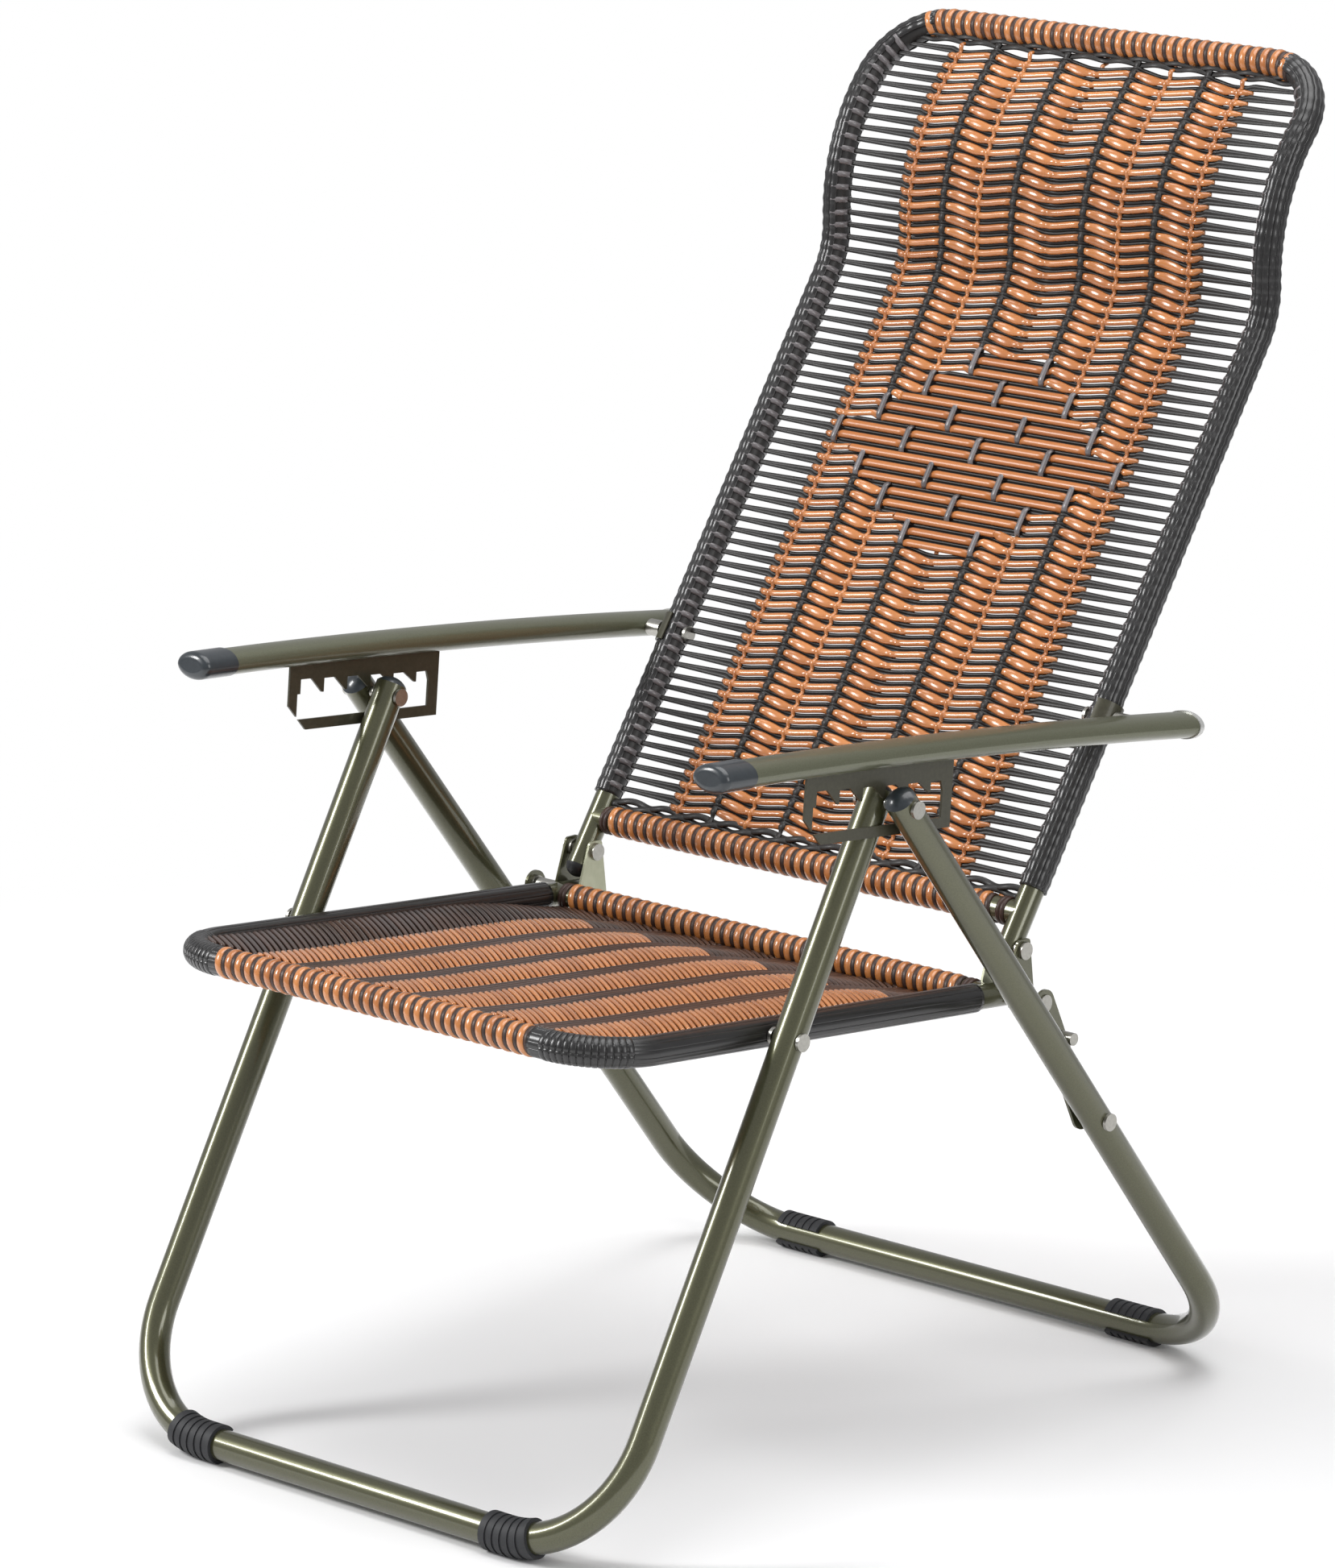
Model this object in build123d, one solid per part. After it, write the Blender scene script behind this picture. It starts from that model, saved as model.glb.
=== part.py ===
from build123d import *
import os
from math import atan2, cos, degrees, radians, sin, sqrt, tan

# Folding recliner with a woven seat and back.  Millimetres, +Z up, the sitter faces -Y.
# The right half is drawn and mirrored.  Drawn places are measured from the top leg pivot (y = 0)
# and the floor (z = 0); Y_MID moves them so that the origin lies under the middle of the chair.

# Legs
LEG_R = 12.5
LEG_WALL = 1.5
FRONT_LEG_X = 257.7
LEG_GAP = 4.6
TOP_PIVOT_Z = 542.3
FRONT_FOOT_Y = -302.2
REAR_FOOT_Y = 416.8
FOOT_BAR_Z = 15.0
LEG_BEND_R = 95.0
LEG_TOP_RUN = 9.0
LEG_DOME = 6.0
LEG_SPIGOT = 4.0

# Foot sleeves
SLEEVE_R = 15.6
SLEEVE_LENGTH = 45.0
SLEEVE_OPENING = 70.0
FRONT_SLEEVE_X = 168.0
REAR_SLEEVE_X = 180.0
RIB_COUNT = 6
RIB_GROOVE = 2.6
RIB_DEPTH = 0.9

# Seat
SEAT_X = 230.0
SEAT_R = 10.0
FRAME_WALL = 1.2
SEAT_TILT = 5.313
SEAT_PIVOT_Z = 375.6
SEAT_FRONT_Y = -270.0
SEAT_END_Y = 192.5
SEAT_BEND_R = 55.0
SEAT_RAIL_Y = 165.0
SEAT_SIDE_WRAP_R = 11.6
SEAT_SIDE_WRAP_END_Y = 150.0
SEAT_END_CAP = 3.5
WEAVE_T = 3.6
SEAT_WEAVE_RISE = 11.0
SEAT_SAG = 13.0
SEAT_LOW_SHARE = 0.8
SEAT_FRONT_FALL = 0.62
SEAT_REAR_RISE = 0.42

# Back
BACK_X = 226.8
BACK_R = 10.0
BACK_LEAN = 33.87
HINGE_Z = 384.0
HINGE_Y = 195.6
BEND1_Z = 823.2
BEND1_R = 74.8
BEND1_LEAN = -0.76
BEND_RUN = 6.4
BEND2_R = 165.4
BEND2_LEAN = 41.55
TOP_BEND_R = 58.5
LOWER_RAIL_Z = 407.6
STILE_END_DROP = 14.5
STILE_WRAP_Z = 425.0
WRAP_R = 12.4
WRAP_END_GAP = 2.4
RAIL_END_BARE = 8.0
STILE_DOME = 9.5

# Armrests
ARM_X = 272.5
ARM_Z = 581.5
ARM_CROWN = 0.00006
ARM_FRONT_Y = -195.0
ARM_REAR_Y = 350.0
ARM_HALF_W = 17.0
ARM_HALF_H = 10.25
ARM_WALL = 1.2
ARM_PIVOT_Z = 548.0
CAP_LENGTH = 35.0
CAP_SKIN = 0.9
CAP_NOSE = 7.0
REAR_PLUG = 7.0

# Ratchet plate, drawn along the arm (u to the rear, v up) about the top pivot
PLATE_T = 2.0
PLATE_FRONT_U = -97.0
PLATE_REAR_U = 71.0
PLATE_BOTTOM_V = -24.0
PLATE_TOP_V = 31.0
PLATE_BEVEL = 20.0
WINDOW_FRONT_U = -88.0
WINDOW_REAR_U = 60.0
WINDOW_BOTTOM_V = -15.5
NOTCH_PITCH = 26.1
NOTCH_FIRST = -3
NOTCH_LAST = 2
NOTCH_ROOM = 0.7
NOTCH_SLOPE = 12.2
NOTCH_SWING = 1.3
TOOTH_CLEAR = 0.6
LATCH_DROP = 9.3

# Pins, rivets and hinge pieces
TOP_PIN_R = 3.0
TOP_HEAD_R = 7.0
BUSH_R = 4.5
PIN_R = 4.0
HEAD_R = 7.0
HEAD_T = 2.6
RUN_CLEAR = 0.05
FACE_CLEAR = 0.4
AXIAL_CLEAR = 0.2
HINGE_PLATE_T = 2.0
HINGE_ROOM = 1.2
PLATE_HEAD_HALF = 7.0
PLATE_HEAD_RISE = 9.0
PLATE_FOOT_REACH = 13.0
PLATE_FOOT_DROP = 8.0
PLATE_FOOT_LIP = 2.0
PLATE_CORNER_R = 3.4
LINK_PIVOT_Y = 184.0
LINK_FOOT_Z = 249.0
LINK_T = 2.5
LINK_HALF_W = 11.0
STOP_R = 5.0
STOP_GAP = 0.4
OPEN_GAP = 2.0
SADDLE_T = 1.6
BOLT_HEAD_IN = 4.0
BOLT_HEAD_R = 5.5
SADDLE_LENGTH = 24.0

REAR_LEG_X = FRONT_LEG_X + 2 * LEG_R + LEG_GAP
LAYER_X = FRONT_LEG_X + LEG_R + LEG_GAP / 2

# Places in the side view, as (y, z)
LEG_DROP = TOP_PIVOT_Z - FOOT_BAR_Z


def on_front_leg(z):
    return FRONT_FOOT_Y * (TOP_PIVOT_Z - z) / LEG_DROP


def on_rear_leg(z):
    return REAR_FOOT_Y * (TOP_PIVOT_Z - z) / LEG_DROP


SEAT_PIVOT = (on_front_leg(SEAT_PIVOT_Z), SEAT_PIVOT_Z)


def seat_z(y):
    return SEAT_PIVOT_Z - tan(radians(SEAT_TILT)) * (y - SEAT_PIVOT[0])


TOP_PIVOT = (0.0, TOP_PIVOT_Z)
LINK_FOOT = (on_rear_leg(LINK_FOOT_Z), LINK_FOOT_Z)
LINK_PIVOT = (LINK_PIVOT_Y, seat_z(LINK_PIVOT_Y))


def stile_y(z):
    return HINGE_Y + tan(radians(BACK_LEAN)) * (z - HINGE_Z)


HINGE = (HINGE_Y, HINGE_Z)
ARM_PIVOT = (stile_y(ARM_PIVOT_Z), ARM_PIVOT_Z)
ARM_SLOPE = (ARM_Z - ARM_PIVOT_Z - ARM_CROWN * ARM_PIVOT[0] ** 2) / ARM_PIVOT[0]
ARM_TILT = degrees(atan2(ARM_SLOPE, 1))


def arm_z(y):
    return ARM_Z - ARM_SLOPE * y - ARM_CROWN * y * y


def lean_step(start, lean, length):
    return (start[0] + sin(radians(lean)) * length, start[1] + cos(radians(lean)) * length)


def lean_bend(start, lean_from, lean_to, radius):
    turn = 1 if lean_to > lean_from else -1
    a = radians(lean_from)
    b = radians(lean_to)
    return (start[0] + turn * radius * (cos(a) - cos(b)), start[1] + turn * radius * (sin(b) - sin(a)))


BEND1_MID_LEAN = (BACK_LEAN + BEND1_LEAN) / 2
BEND2_MID_LEAN = (BEND1_LEAN + BEND2_LEAN) / 2
STILE_END = lean_step(HINGE, BACK_LEAN, -STILE_END_DROP)
BEND1_START = (stile_y(BEND1_Z), BEND1_Z)
BEND1_MID = lean_bend(BEND1_START, BACK_LEAN, BEND1_MID_LEAN, BEND1_R)
BEND1_END = lean_bend(BEND1_START, BACK_LEAN, BEND1_LEAN, BEND1_R)
BEND2_START = lean_step(BEND1_END, BEND1_LEAN, BEND_RUN)
BEND2_MID = lean_bend(BEND2_START, BEND1_LEAN, BEND2_MID_LEAN, BEND2_R)
BEND2_END = lean_bend(BEND2_START, BEND1_LEAN, BEND2_LEAN, BEND2_R)
TOP_RAIL = lean_step(BEND2_END, BEND2_LEAN, TOP_BEND_R)
LOWER_RAIL = (stile_y(LOWER_RAIL_Z), LOWER_RAIL_Z)

Y_MID = (FRONT_FOOT_Y - SLEEVE_R + TOP_RAIL[0] + WRAP_R) / 2


def pt(x, place):
    return Vector(x, place[0] - Y_MID, place[1])


def rounded(points, radii):
    # One wire of straight runs, each inner corner rounded with its own radius
    edges = []
    start = points[0]
    for i in range(1, len(points) - 1):
        corner = points[i]
        back = (points[i - 1] - corner).normalized()
        ahead = (points[i + 1] - corner).normalized()
        half = radians(back.get_angle(ahead)) / 2
        run = radii[i - 1] / tan(half)
        middle = corner + (back + ahead).normalized() * (radii[i - 1] / sin(half) - radii[i - 1])
        edges.append(Line(start, corner + back * run))
        edges.append(ThreePointArc(corner + back * run, middle, corner + ahead * run))
        start = corner + ahead * run
    edges.append(Line(start, points[-1]))
    return Wire(edges)


def across(start, along):
    # A plane square to a run that lies in a side view or along X
    x_dir = (0, 1, 0) if abs(along.X) > 0.99 else (1, 0, 0)
    return Plane(origin=start, x_dir=x_dir, z_dir=along)


def swept(path, outer, inner=0.0):
    section = Circle(outer)
    if inner > 0:
        section = section - Circle(inner)
    return sweep(across(path @ 0, path % 0) * section, path=path)


def bar(x0, x1, place, radius, inner=0.0):
    # A round piece along X
    section = Circle(radius)
    if inner > 0:
        section = section - Circle(inner)
    return extrude(Plane(origin=pt(x0, place), x_dir=(0, 1, 0), z_dir=(1, 0, 0)) * section, x1 - x0)


def plate(x0, thickness, face):
    # A flat piece drawn in the side view as (y, z)
    side = Plane(origin=(x0, -Y_MID, 0), x_dir=(0, 1, 0), z_dir=(1, 0, 0))
    return extrude(side * face, thickness)


def domed(end, along, radius, rise, spigot, depth):
    # A plug with a domed head and a spigot that goes down the tube
    ball = (radius ** 2 + rise ** 2) / (2 * rise)
    profile = make_face([
        Line((0, -depth), (spigot, -depth)),
        Line((spigot, -depth), (spigot, 0)),
        Line((spigot, 0), (radius, 0)),
        ThreePointArc((radius, 0), (radius / 2, rise - ball + sqrt(ball ** 2 - radius ** 2 / 4)), (0, rise)),
        Line((0, rise), (0, -depth)),
    ])
    return Location(Plane(origin=end, x_dir=(1, 0, 0), z_dir=along)) * revolve(Plane.XZ * profile, Axis.Z)


def pair(right):
    return Compound([right, mirror(right, about=Plane.YZ)])


def both_sides(piece, right_cut):
    return piece - right_cut - mirror(right_cut, about=Plane.YZ)


def largest(shape):
    return max(shape.solids(), key=lambda s: s.volume)


def save(shape, name):
    shape.label = name
    export_step(shape, "parts/" + name + ".step")


os.makedirs("parts", exist_ok=True)


# Leg frames: one U of tube each
def leg_frame(x, foot_y, pin_hole):
    down = Vector(0, foot_y, FOOT_BAR_Z - TOP_PIVOT_Z).normalized()
    top = pt(x, TOP_PIVOT) - down * LEG_TOP_RUN
    foot = pt(x, (foot_y, FOOT_BAR_Z))
    other = Vector(-foot.X, foot.Y, foot.Z)
    path = rounded([top, foot, other, Vector(-top.X, top.Y, top.Z)], [LEG_BEND_R, LEG_BEND_R])
    frame = swept(path, LEG_R, LEG_R - LEG_WALL)
    plug = domed(top, down * -1, LEG_R, LEG_DOME, LEG_R - LEG_WALL, LEG_SPIGOT)
    frame = both_sides(frame, bar(x - 2 * LEG_R, x + 2 * LEG_R, TOP_PIVOT, pin_hole))
    return frame, plug


front_frame, front_plug = leg_frame(FRONT_LEG_X, FRONT_FOOT_Y, TOP_PIN_R + RUN_CLEAR)
rear_frame, rear_plug = leg_frame(REAR_LEG_X, REAR_FOOT_Y, TOP_PIN_R)
leg_span = 2 * LEG_R
front_frame = both_sides(front_frame, bar(FRONT_LEG_X - leg_span, FRONT_LEG_X + leg_span, SEAT_PIVOT, PIN_R))
rear_frame = both_sides(rear_frame, bar(REAR_LEG_X - leg_span, REAR_LEG_X + leg_span, LINK_FOOT, PIN_R))
save(front_frame, "front_leg_frame")
save(rear_frame, "rear_leg_frame")
save(pair(front_plug), "front_leg_plugs")
save(pair(rear_plug), "rear_leg_plugs")


# Foot sleeves: ribbed clips at the foot bends, open to the inside of the chair, flat where they stand
def foot_run(x, foot_y, start, end):
    # The foot bar between two lengths, measured outwards from the start of its bend
    up = Vector(0, -foot_y, LEG_DROP).normalized()
    foot = pt(x - LEG_BEND_R, (foot_y, FOOT_BAR_Z))

    def bent(length):
        turn = length / LEG_BEND_R
        return foot + Vector(LEG_BEND_R * sin(turn), 0, 0) + up * (LEG_BEND_R * (1 - cos(turn)))

    edges = []
    if start < 0:
        edges.append(Line(foot + Vector(start, 0, 0), foot + Vector(min(end, 0), 0, 0)))
    if end > 0:
        first = max(start, 0)
        edges.append(ThreePointArc(bent(first), bent((first + end) / 2), bent(end)))
    return Wire(edges)


def foot_sleeve(x, foot_y, sleeve_x, open_side):
    half = radians(SLEEVE_OPENING / 2)
    reach = 2 * SLEEVE_R
    mouth = make_face(Polyline((0, 0), (open_side * reach, reach * tan(half)),
                               (open_side * reach, -reach * tan(half)), close=True))
    step = SLEEVE_LENGTH / RIB_COUNT
    first = sleeve_x - (x - LEG_BEND_R) - SLEEVE_LENGTH / 2

    def ring(start, end, outer, inner):
        path = foot_run(x, foot_y, start, end)
        plane = Plane(origin=path @ 0, x_dir=(0, 1, 0), z_dir=path % 0)
        return sweep(plane * (Circle(outer) - Circle(inner) - mouth), path=path)

    sleeve = ring(first, first + SLEEVE_LENGTH, SLEEVE_R, LEG_R)
    for i in range(1, RIB_COUNT):
        groove = first + i * step
        sleeve -= ring(groove - RIB_GROOVE / 2, groove + RIB_GROOVE / 2, reach, SLEEVE_R - RIB_DEPTH)
    floor = Pos(sleeve_x, foot_y - Y_MID, -SLEEVE_R) * Box(4 * SLEEVE_LENGTH, 8 * SLEEVE_R, 2 * SLEEVE_R)
    return largest(sleeve - floor)


front_sleeve = foot_sleeve(FRONT_LEG_X, FRONT_FOOT_Y, FRONT_SLEEVE_X, 1)
save(pair(front_sleeve), "front_foot_sleeves")
rear_sleeve = foot_sleeve(REAR_LEG_X, REAR_FOOT_Y, REAR_SLEEVE_X, -1)
save(pair(rear_sleeve), "rear_foot_sleeves")

# Seat frame: a U of tube, a rail across behind, end caps
seat_end = pt(SEAT_X, (SEAT_END_Y, seat_z(SEAT_END_Y)))
seat_corner = pt(SEAT_X, (SEAT_FRONT_Y, seat_z(SEAT_FRONT_Y)))
seat_path = rounded(
    [seat_end, seat_corner, Vector(-seat_corner.X, seat_corner.Y, seat_corner.Z),
     Vector(-seat_end.X, seat_end.Y, seat_end.Z)], [SEAT_BEND_R, SEAT_BEND_R])
seat_frame = swept(seat_path, SEAT_R, SEAT_R - FRAME_WALL)
seat_span = 2 * SEAT_R
seat_frame = both_sides(seat_frame, bar(SEAT_X - seat_span, SEAT_X + seat_span, SEAT_PIVOT,
                                        PIN_R + RUN_CLEAR))
seat_frame = both_sides(seat_frame, bar(SEAT_X - seat_span, SEAT_X + seat_span, LINK_PIVOT, PIN_R))
seat_along = (seat_end - seat_corner).normalized()
seat_side = extrude(across(seat_corner, seat_along) * Circle(SEAT_R), (seat_end - seat_corner).length)
SEAT_RAIL = (SEAT_RAIL_Y, seat_z(SEAT_RAIL_Y))
seat_rail = both_sides(bar(-SEAT_X, SEAT_X, SEAT_RAIL, SEAT_R, SEAT_R - FRAME_WALL), seat_side)
seat_plug = domed(seat_end, seat_along, SEAT_R, SEAT_END_CAP, SEAT_R - FRAME_WALL, LEG_SPIGOT)
save(seat_frame, "seat_frame")
save(seat_rail, "seat_rear_rail")
save(pair(seat_plug), "seat_end_plugs")

# Seat wraps: strand wound on the rails, kept as plain sleeves here
front_half = SEAT_X - SEAT_BEND_R - WRAP_END_GAP
SEAT_FRONT = (SEAT_FRONT_Y, seat_z(SEAT_FRONT_Y))
seat_front_wrap = bar(-front_half, front_half, SEAT_FRONT, WRAP_R, SEAT_R)
rear_half = SEAT_X - SEAT_R - RAIL_END_BARE
seat_rear_wrap = bar(-rear_half, rear_half, SEAT_RAIL, WRAP_R, SEAT_R)
side_end = pt(SEAT_X, (SEAT_SIDE_WRAP_END_Y, seat_z(SEAT_SIDE_WRAP_END_Y)))
side_path = rounded([side_end, seat_corner, pt(SEAT_X - SEAT_BEND_R - 0.4, SEAT_FRONT)], [SEAT_BEND_R])
seat_side_wrap = swept(side_path, SEAT_SIDE_WRAP_R, SEAT_R)
seat_side_wrap -= bar(SEAT_X - seat_span, SEAT_X + seat_span, SEAT_PIVOT, PIN_R + RUN_CLEAR)
save(seat_front_wrap, "seat_front_wrap")
save(seat_rear_wrap, "seat_rear_wrap")
save(pair(seat_side_wrap), "seat_side_wraps")

# Seat weave: one sheet between the wound rails, hollowed where the sitter's weight has drawn it down
seat_plane = Plane(origin=pt(0, SEAT_FRONT), x_dir=(0, cos(radians(SEAT_TILT)), -sin(radians(SEAT_TILT))),
                   z_dir=(1, 0, 0))
seat_depth = (SEAT_RAIL_Y - SEAT_FRONT_Y) / cos(radians(SEAT_TILT))
low_u = seat_depth * SEAT_LOW_SHARE
low_v = SEAT_WEAVE_RISE - SEAT_SAG


def seat_curve(drop):
    # The sheet's side line: a long fall from the front rail to the low place, then a short rise
    front = (0, SEAT_WEAVE_RISE - drop)
    low = (low_u, low_v - drop)
    rear = (seat_depth, SEAT_WEAVE_RISE - drop)
    front_mid = (low_u / 2, front[1] - SEAT_SAG * SEAT_FRONT_FALL)
    rear_mid = ((low_u + seat_depth) / 2, low[1] + SEAT_SAG * SEAT_REAR_RISE)
    return [ThreePointArc(front, front_mid, low), ThreePointArc(low, rear_mid, rear)]


upper = seat_curve(0)
under = seat_curve(WEAVE_T)
ends = [Line(upper[0] @ 0, under[0] @ 0), Line(upper[1] @ 1, under[1] @ 1)]
seat_weave = extrude(seat_plane * make_face(upper + under + ends), SEAT_X, both=True)
seat_weave -= bar(-2 * SEAT_X, 2 * SEAT_X, SEAT_FRONT, WRAP_R)
seat_weave -= bar(-2 * SEAT_X, 2 * SEAT_X, SEAT_RAIL, WRAP_R)
seat_weave = both_sides(seat_weave, swept(side_path, SEAT_SIDE_WRAP_R))
seat_weave = both_sides(seat_weave, seat_side)
rivet_in = SEAT_X - SEAT_SIDE_WRAP_R - FACE_CLEAR
rivet_room = bar(rivet_in - HEAD_T - FACE_CLEAR, SEAT_X, SEAT_PIVOT, HEAD_R + FACE_CLEAR)
seat_weave = both_sides(seat_weave, rivet_room)
save(largest(seat_weave), "seat_weave")

# Seat pivots on the front legs: rivets with a collar between the two tubes
collar_x = SEAT_X + SEAT_SIDE_WRAP_R + FACE_CLEAR
leg_in = FRONT_LEG_X - LEG_R
leg_out = FRONT_LEG_X + LEG_R
seat_rivet = bar(rivet_in - HEAD_T, leg_out + HEAD_T, SEAT_PIVOT, PIN_R)
seat_rivet += bar(rivet_in - HEAD_T, rivet_in, SEAT_PIVOT, HEAD_R)
seat_rivet += bar(leg_out, leg_out + HEAD_T, SEAT_PIVOT, HEAD_R)
save(pair(seat_rivet), "seat_pivot_rivets")
save(pair(bar(collar_x, leg_in, SEAT_PIVOT, HEAD_R, PIN_R)), "seat_pivot_washers")

# Hinge between seat and back: two plates on each seat rail, one on each side of the stile
stile_in = BACK_X - BACK_R
stile_out = BACK_X + BACK_R
seat_in = SEAT_X - SEAT_R
seat_out = SEAT_X + SEAT_R
inner_plate_x = stile_in - FACE_CLEAR - HINGE_PLATE_T
outer_plate_x = seat_out + FACE_CLEAR
plate_front = SEAT_RAIL_Y + SEAT_R + FACE_CLEAR
plate_foot = LINK_PIVOT[1] - PLATE_FOOT_DROP
cheek = make_face(Polyline(
    (HINGE_Y - PLATE_HEAD_HALF, HINGE_Z + PLATE_HEAD_RISE),
    (HINGE_Y + PLATE_HEAD_HALF, HINGE_Z + PLATE_HEAD_RISE),
    (HINGE_Y + PLATE_FOOT_REACH, plate_foot), (plate_front + PIN_R, plate_foot - PLATE_FOOT_LIP),
    (plate_front, LINK_PIVOT[1] + HEAD_R - 1), close=True))
cheek = fillet(cheek.vertices(), PLATE_CORNER_R)
cheek -= Pos(*HINGE) * Circle(PIN_R + HINGE_ROOM)
cheek -= Pos(*LINK_PIVOT) * Circle(PIN_R)
save(pair(plate(inner_plate_x, HINGE_PLATE_T, cheek)), "hinge_inner_plates")
save(pair(plate(outer_plate_x, HINGE_PLATE_T, cheek)), "hinge_outer_plates")

inner_head_x = inner_plate_x - HEAD_T
outer_face_x = outer_plate_x + HINGE_PLATE_T
hinge_in = inner_plate_x - AXIAL_CLEAR
hinge_out = outer_face_x + AXIAL_CLEAR
hinge_pin = bar(hinge_in - HEAD_T, hinge_out + HEAD_T, HINGE, PIN_R)
hinge_pin += bar(hinge_in - HEAD_T, hinge_in, HINGE, HEAD_R)
hinge_pin += bar(hinge_out, hinge_out + HEAD_T, HINGE, HEAD_R)
save(pair(hinge_pin), "hinge_pins")
hinge_washer = bar(stile_out + FACE_CLEAR, outer_plate_x - AXIAL_CLEAR, HINGE, HEAD_R, PIN_R)
save(pair(hinge_washer), "hinge_washers")

# Pins from the seat towards the links; the pivot is opened here, short of the link's own rivet
link_x = LAYER_X - LINK_T / 2
link_rivet_in = link_x - HEAD_T
link_pin = bar(inner_head_x, link_rivet_in - OPEN_GAP, LINK_PIVOT, PIN_R)
link_pin += bar(inner_head_x, inner_plate_x, LINK_PIVOT, HEAD_R - 1)
link_pin += bar(inner_plate_x + HINGE_PLATE_T, seat_in, LINK_PIVOT, HEAD_R - 1)
link_pin += bar(outer_face_x, link_rivet_in - OPEN_GAP, LINK_PIVOT, HEAD_R - 1)
save(pair(link_pin), "link_pins")

# Back frame: both stiles and the top rail from one tube
top_half = BACK_X - TOP_BEND_R
corner_turn = TOP_BEND_R * sin(radians(45))
TOP_MID = lean_step(BEND2_END, BEND2_LEAN, corner_turn)


def stile_run(hand, start):
    # The bent side of the back from a start place up to the top rail; hand is 1 or -1
    x = hand * BACK_X
    return [
        Line(pt(x, start), pt(x, BEND1_START)),
        ThreePointArc(pt(x, BEND1_START), pt(x, BEND1_MID), pt(x, BEND1_END)),
        Line(pt(x, BEND1_END), pt(x, BEND2_START)),
        ThreePointArc(pt(x, BEND2_START), pt(x, BEND2_MID), pt(x, BEND2_END)),
        ThreePointArc(pt(x, BEND2_END), pt(hand * (top_half + corner_turn), TOP_MID),
                      pt(hand * top_half, TOP_RAIL)),
    ]


top_run = Line(pt(top_half, TOP_RAIL), pt(-top_half, TOP_RAIL))
back_path = Wire(stile_run(1, STILE_END) + [top_run] + stile_run(-1, STILE_END)[::-1])
back_along = Vector(0, sin(radians(BACK_LEAN)), cos(radians(BACK_LEAN)))


def back_tube(path, outer, inner=0.0):
    section = Circle(outer)
    if inner > 0:
        section = section - Circle(inner)
    return sweep(Plane(origin=path @ 0, x_dir=(1, 0, 0), z_dir=path % 0) * section, path=path)


back_frame = back_tube(back_path, BACK_R, BACK_R - FRAME_WALL)
stile_span = 2 * WRAP_R
back_frame = both_sides(back_frame, bar(BACK_X - stile_span, BACK_X + stile_span, HINGE, PIN_R + RUN_CLEAR))
back_frame = both_sides(back_frame, bar(BACK_X - stile_span, BACK_X + stile_span, ARM_PIVOT, PIN_R))
save(back_frame, "back_frame")
stile_low = extrude(Plane(origin=pt(BACK_X, STILE_END), x_dir=(1, 0, 0), z_dir=back_along) * Circle(BACK_R),
                    (BEND1_Z - STILE_END[1]) / cos(radians(BACK_LEAN)))
lower_rail = both_sides(bar(-BACK_X, BACK_X, LOWER_RAIL, BACK_R, BACK_R - FRAME_WALL), stile_low)
save(lower_rail, "back_lower_rail")
stile_plug = domed(pt(BACK_X, STILE_END), back_along * -1, BACK_R, STILE_DOME, BACK_R - FRAME_WALL,
                   LEG_SPIGOT)
save(pair(stile_plug), "back_stile_plugs")

# Back wraps
WRAP_START = (stile_y(STILE_WRAP_Z), STILE_WRAP_Z)
wrap_path = Wire(stile_run(1, WRAP_START))
stile_wrap = back_tube(wrap_path, WRAP_R, BACK_R)
stile_wrap -= bar(BACK_X - stile_span, BACK_X + stile_span, ARM_PIVOT, PIN_R)
save(pair(stile_wrap), "back_stile_wraps")
top_wrap_half = top_half - WRAP_END_GAP
save(bar(-top_wrap_half, top_wrap_half, TOP_RAIL, WRAP_R, BACK_R), "back_top_wrap")
lower_half = stile_in - RAIL_END_BARE
save(bar(-lower_half, lower_half, LOWER_RAIL, WRAP_R, BACK_R), "back_lower_wrap")

# Back weave: one sheet that follows the bent stiles, cut to the wraps around it
sheet_path = Wire([
    Line(pt(0, LOWER_RAIL), pt(0, BEND1_START)),
    ThreePointArc(pt(0, BEND1_START), pt(0, BEND1_MID), pt(0, BEND1_END)),
    Line(pt(0, BEND1_END), pt(0, BEND2_START)),
    ThreePointArc(pt(0, BEND2_START), pt(0, BEND2_MID), pt(0, BEND2_END)),
    Line(pt(0, BEND2_END), pt(0, TOP_RAIL)),
])
sheet_plane = Plane(origin=sheet_path @ 0, x_dir=(1, 0, 0), z_dir=back_along)
back_weave = sweep(sheet_plane * Rectangle(2 * BACK_X, WEAVE_T), path=sheet_path)
wrap_solid = back_tube(Wire(stile_run(1, STILE_END)), WRAP_R)
back_weave = both_sides(back_weave, wrap_solid)
back_weave -= bar(-top_half, top_half, TOP_RAIL, WRAP_R)
back_weave -= bar(-BACK_X, BACK_X, LOWER_RAIL, WRAP_R)
rivet_x = BACK_X - WRAP_R - HEAD_T - FACE_CLEAR
back_weave = both_sides(back_weave, bar(rivet_x, BACK_X, ARM_PIVOT, HEAD_R + FACE_CLEAR))
save(largest(back_weave), "back_weave")

# Arm saddles on the stiles, and the rivets that hold them
saddle_plane = Plane(origin=pt(BACK_X, ARM_PIVOT), x_dir=(1, 0, 0), z_dir=back_along)
saddle_ring = Circle(WRAP_R + SADDLE_T) - Circle(WRAP_R)
saddle_half = Pos(WRAP_R, 0) * Rectangle(2 * WRAP_R, 4 * WRAP_R)
saddle = extrude(saddle_plane * (saddle_ring & saddle_half), SADDLE_LENGTH / 2, both=True)
saddle -= bar(BACK_X, BACK_X + stile_span, ARM_PIVOT, PIN_R)
save(pair(saddle), "arm_saddles")
saddle_face = BACK_X + WRAP_R + SADDLE_T
saddle_rivet = bar(BACK_X - WRAP_R - HEAD_T, saddle_face, ARM_PIVOT, PIN_R)
saddle_rivet += bar(BACK_X - WRAP_R - HEAD_T, BACK_X - WRAP_R, ARM_PIVOT, HEAD_R)
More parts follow.
